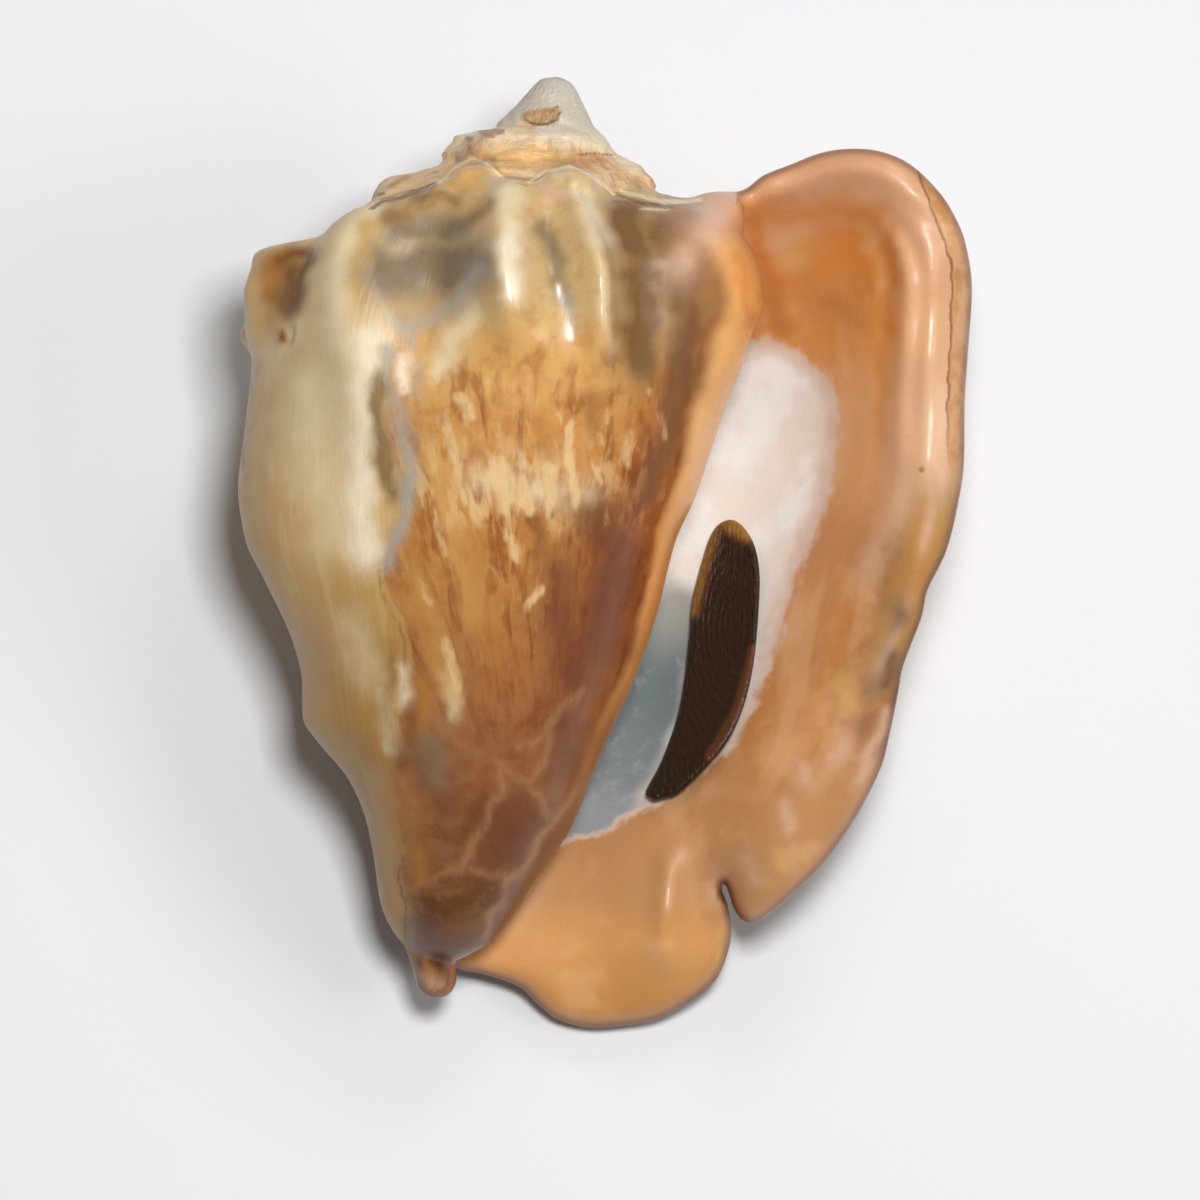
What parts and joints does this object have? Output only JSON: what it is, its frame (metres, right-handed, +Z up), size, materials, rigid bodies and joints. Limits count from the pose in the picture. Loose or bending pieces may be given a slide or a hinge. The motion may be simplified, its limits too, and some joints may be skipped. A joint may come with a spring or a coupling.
{
  "type": "conch shell",
  "caption": "Knobbed conch shell lying on its back, flared peach lip and white aperture up, with its loose dark horny operculum resting inside",
  "frame": {"origin": "Under the middle of the shell's box, at ground level. The shell lies on its back on two knobs and the back of its canal.", "axes": "+X from the body whorl to the outer lip, +Y from the siphonal canal to the spire, +Z up out of the aperture"},
  "size_m": [0.0922, 0.1158, 0.0639],
  "materials": {
    "shell_lime": "glossy",
    "horn": "satin"
  },
  "bodies": {
    "root": {"shell": "shell_lime", "operculum": "horn"}
  },
  "joints": []
}
